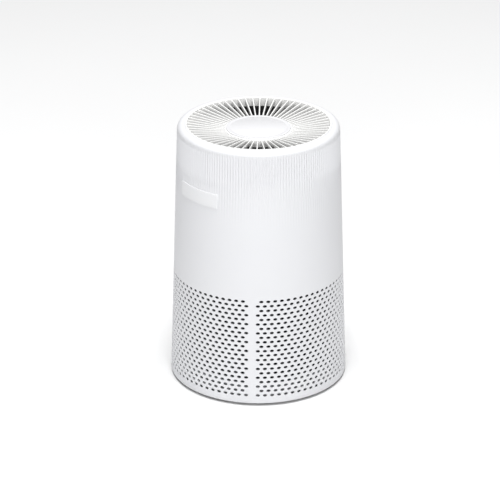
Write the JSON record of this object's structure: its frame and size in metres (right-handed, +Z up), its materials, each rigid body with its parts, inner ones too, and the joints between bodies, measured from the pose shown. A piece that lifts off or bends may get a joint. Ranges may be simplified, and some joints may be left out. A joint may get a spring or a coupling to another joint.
{
  "type": "air purifier",
  "caption": "Tapered cylindrical room air purifier with a perforated intake, radial top grille, touch disc, ducted fan and ring filter behind a twist-off base.",
  "frame": {"origin": "on the floor, at the foot of the body's vertical axis", "axes": "+Z up along the body's axis, -Y out of the front (the badge side), +X to the right seen from the rear"},
  "size_m": [0.2146, 0.2146, 0.322],
  "materials": {
    "body_white": "fine satin white",
    "badge_white": "smooth white",
    "grille_white": "satin warm white",
    "panel_white": "smooth satin white",
    "light_guide": "milky translucent",
    "duct_black": "matt black",
    "fan_grey": "satin dark grey",
    "board_green": "solder-masked laminate",
    "board_white": "solder-masked laminate",
    "steel": "bright steel",
    "zinc_screw": "zinc plated",
    "core_steel": "laminated",
    "magnet": "sintered",
    "copper": "enamelled winding wire",
    "jack_black": "moulded black",
    "switch_red": "moulded red",
    "plunger_white": "natural acetal",
    "foot_rubber": "matt grey",
    "filter_paper": "pleated",
    "filter_fabric": "fine mesh",
    "mesh_black": "fine dark net",
    "carbon_black": "granular",
    "cap_grey": "matt grey",
    "seal_foam": "soft foam",
    "strap_fabric": "woven tape"
  },
  "bodies": {
    "housing": {"outer_shell": "body_white", "badge_plate": "badge_white", "outlet_grille": "grille_white", "grille_screws": "zinc_screw", "touch_panel": "panel_white", "light_ring": "light_guide", "hub_cup": "duct_black", "touch_board": "board_white", "fan_deck": "duct_black", "deck_screws": "zinc_screw", "fan_duct": "duct_black", "finger_guard": "duct_black", "guide_ring": "duct_black", "motor_mount": "duct_black", "mount_screws": "zinc_screw", "bearing_tube": "steel", "motor_bearings": "steel", "stator_core": "core_steel", "motor_coils": "copper", "motor_board": "board_green", "main_board": "board_green", "dc_jack": "jack_black", "switch_body": "switch_red", "switch_spring": "steel", "latch_ring": "duct_black"},
    "rotor": {"rotor_cup": "steel", "rotor_magnet": "magnet", "motor_shaft": "steel", "shaft_clip": "steel", "impeller": "fan_grey", "impeller_nut": "zinc_screw"},
    "plunger": {"switch_plunger": "plunger_white"},
    "filter": {"filter_core": "filter_fabric", "filter_carbon": "carbon_black", "filter_media": "filter_paper", "prefilter_mesh": "mesh_black", "filter_top_cap": "cap_grey", "filter_bottom_cap": "cap_grey", "filter_seal": "seal_foam", "filter_strap": "strap_fabric"},
    "cover": {"base_cover": "body_white", "foot_pads": "foot_rubber"}
  },
  "joints": [
    {"name": "rotor_spin", "type": "hinge", "parent": "housing", "child": "rotor", "pos_m": [0, 0, 0.19], "axis": [0, 0, 1], "continuous": true},
    {"name": "filter_drop", "type": "slide", "parent": "housing", "child": "filter", "axis": [0, 0, -1], "range_m": [0, 0.003]},
    {"name": "cover_turn", "type": "hinge", "parent": "filter", "child": "cover", "pos_m": [0, 0, 0.012], "axis": [0, 0, 1], "range_deg": [0, 28]},
    {"name": "plunger_drop", "type": "slide", "parent": "housing", "child": "plunger", "axis": [0, 0, -1], "range_m": [0, 0.003], "deforming": ["switch_spring"]}
  ],
  "couplings": [
    {"joint": "filter_drop", "follows": "cover_turn", "m_per_rad": 0.006138},
    {"joint": "plunger_drop", "follows": "cover_turn", "m_per_rad": 0.006138}
  ]
}
